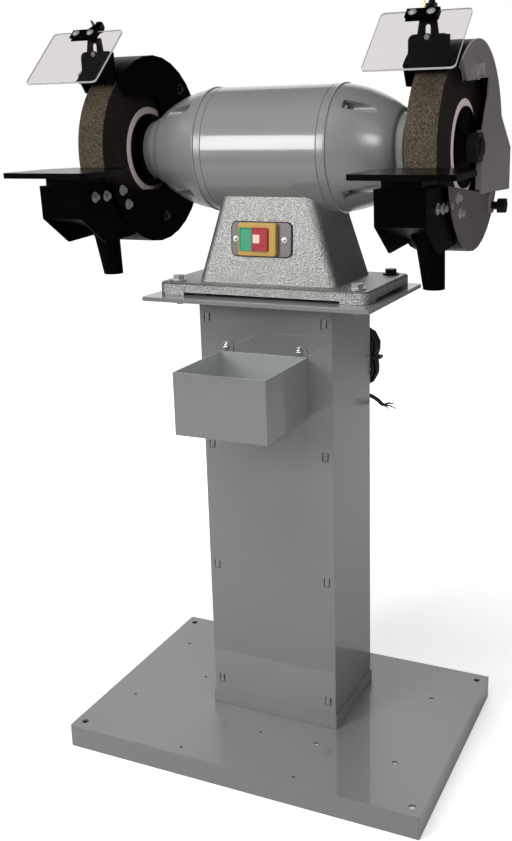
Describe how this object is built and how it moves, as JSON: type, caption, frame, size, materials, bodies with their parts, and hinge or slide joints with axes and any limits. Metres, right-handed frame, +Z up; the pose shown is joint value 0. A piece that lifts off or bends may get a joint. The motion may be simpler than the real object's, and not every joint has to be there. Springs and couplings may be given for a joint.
{
  "type": "pedestal bench grinder",
  "caption": "Pedestal bench grinder: a motor on a box column with a guarded grinding wheel at each end, tool rests, dust spouts, eye shields, a water pot and a supply cord.",
  "frame": {"origin": "at floor level, under the middle of the outer box measured without the supply cord", "axes": "+X along the shaft to the right wheel, +Y away from the operator, +Z up"},
  "size_m": [0.7598, 0.515, 1.3105],
  "materials": {
    "stand_paint": "glossy mid-grey paint",
    "hammered_paint": "silver hammered paint",
    "motor_paint": "semi-gloss grey paint",
    "bright_steel": "bright steel",
    "laminations": "varnished laminations and windings",
    "zinc_wing": "yellow zinc plate",
    "black_paint": "glossy black paint",
    "cover_paint": "grey-brown satin paint",
    "knob_plastic": "black moulded plastic",
    "abrasive": "coarse opaque vitrified abrasive",
    "blotter_paper": "matt blotting paper",
    "yellow_plastic": "satin moulded plastic",
    "green_plastic": "satin moulded plastic",
    "red_plastic": "satin moulded plastic",
    "shield_glass": "clear laminated safety glass",
    "gland_plastic": "black moulded plastic",
    "cord_rubber": "matt black sheath",
    "tie_plastic": "black plastic strap"
  },
  "bodies": {
    "stand": {"base_plate": "stand_paint", "column_shell": "stand_paint", "column_front_panel": "stand_paint", "column_foot_band": "stand_paint", "stand_top_plate": "stand_paint", "water_pot": "stand_paint", "grinder_foot": "hammered_paint", "foot_bolt_front_left": "bright_steel", "foot_bolt_front_right": "bright_steel", "foot_bolt_rear_left": "bright_steel", "foot_bolt_rear_right": "bright_steel", "switch_bezel": "bright_steel", "switch_frame": "yellow_plastic", "motor_shell": "motor_paint", "stator_core": "laminations", "end_bell_left": "motor_paint", "end_bell_right": "motor_paint", "bearing_left": "bright_steel", "bearing_right": "bright_steel", "wheel_guard_left": "black_paint", "wheel_guard_right": "black_paint", "guard_cover_left": "cover_paint", "guard_cover_right": "cover_paint", "dust_hopper_left": "black_paint", "dust_hopper_right": "black_paint", "cord_gland": "gland_plastic", "power_cord": "cord_rubber", "cord_hank": "cord_rubber", "cord_tail": "cord_rubber", "cord_tie": "tie_plastic"},
    "rotor": {"motor_shaft": "bright_steel", "rotor_core": "bright_steel", "grinding_wheel_left": "abrasive", "grinding_wheel_right": "abrasive", "inner_blotter_left": "blotter_paper", "inner_blotter_right": "blotter_paper", "outer_blotter_left": "blotter_paper", "outer_blotter_right": "blotter_paper", "inner_flange_left": "black_paint", "inner_flange_right": "black_paint", "outer_flange_left": "black_paint", "outer_flange_right": "black_paint", "wheel_nut_left": "bright_steel", "wheel_nut_right": "bright_steel"},
    "start_button": {"start_button": "green_plastic"},
    "stop_button": {"stop_button": "red_plastic"},
    "tool_rest_left": {"tool_rest_left": "black_paint"},
    "spark_plate_left": {"spark_plate_left": "black_paint"},
    "shield_arm_left": {"shield_arm_left": "black_paint"},
    "eye_shield_left": {"shield_clamp_left": "black_paint", "eye_shield_left": "shield_glass"},
    "wing_screw_left": {"wing_screw_left": "zinc_wing"},
    "cover_knob_left": {"cover_knob_left": "knob_plastic"},
    "tool_rest_right": {"tool_rest_right": "black_paint"},
    "spark_plate_right": {"spark_plate_right": "black_paint"},
    "shield_arm_right": {"shield_arm_right": "black_paint"},
    "eye_shield_right": {"shield_clamp_right": "black_paint", "eye_shield_right": "shield_glass"},
    "wing_screw_right": {"wing_screw_right": "zinc_wing"},
    "cover_knob_right": {"cover_knob_right": "knob_plastic"}
  },
  "joints": [
    {"name": "rotor_spin", "type": "hinge", "parent": "stand", "child": "rotor", "pos_m": [-0.0139, 0.0625, 1.0914], "axis": [1, 0, 0], "continuous": true},
    {"name": "start_button_press", "type": "slide", "parent": "stand", "child": "start_button", "axis": [0, 0.9974, -0.0718], "range_m": [0, 0.003], "stiffness_N_per_m": 1200},
    {"name": "stop_button_press", "type": "slide", "parent": "stand", "child": "stop_button", "axis": [0, 0.9974, -0.0718], "range_m": [0, 0.003], "stiffness_N_per_m": 1200},
    {"name": "rest_slide_left", "type": "slide", "parent": "stand", "child": "tool_rest_left", "axis": [0, 1, 0], "range_m": [-0.02, 0.002]},
    {"name": "spark_plate_slide_left", "type": "slide", "parent": "stand", "child": "spark_plate_left", "axis": [0, 0, 1], "range_m": [-0.004, 0.012]},
    {"name": "shield_height_left", "type": "slide", "parent": "stand", "child": "shield_arm_left", "axis": [0, 0, 1], "range_m": [-0.014, 0]},
    {"name": "shield_tilt_left", "type": "hinge", "parent": "shield_arm_left", "child": "eye_shield_left", "pos_m": [-0.3082, -0.0325, 1.298], "axis": [1, 0, 0], "range_deg": [-40, 6]},
    {"name": "wing_screw_turn_left", "type": "hinge", "parent": "shield_arm_left", "child": "wing_screw_left", "pos_m": [-0.3082, -0.0325, 1.298], "axis": [1, 0, 0], "continuous": true},
    {"name": "cover_knob_turn_left", "type": "hinge", "parent": "stand", "child": "cover_knob_left", "pos_m": [-0.3679, 0.1675, 0.9914], "axis": [1, 0, 0], "continuous": true},
    {"name": "rest_slide_right", "type": "slide", "parent": "stand", "child": "tool_rest_right", "axis": [0, 1, 0], "range_m": [-0.02, 0.002]},
    {"name": "spark_plate_slide_right", "type": "slide", "parent": "stand", "child": "spark_plate_right", "axis": [0, 0, 1], "range_m": [-0.004, 0.012]},
    {"name": "shield_height_right", "type": "slide", "parent": "stand", "child": "shield_arm_right", "axis": [0, 0, 1], "range_m": [-0.014, 0]},
    {"name": "shield_tilt_right", "type": "hinge", "parent": "shield_arm_right", "child": "eye_shield_right", "pos_m": [0.2774, -0.0325, 1.298], "axis": [1, 0, 0], "range_deg": [-40, 6]},
    {"name": "wing_screw_turn_right", "type": "hinge", "parent": "shield_arm_right", "child": "wing_screw_right", "pos_m": [0.2774, -0.0325, 1.298], "axis": [1, 0, 0], "continuous": true},
    {"name": "cover_knob_turn_right", "type": "hinge", "parent": "stand", "child": "cover_knob_right", "pos_m": [0.3401, 0.1675, 0.9914], "axis": [1, 0, 0], "continuous": true}
  ]
}
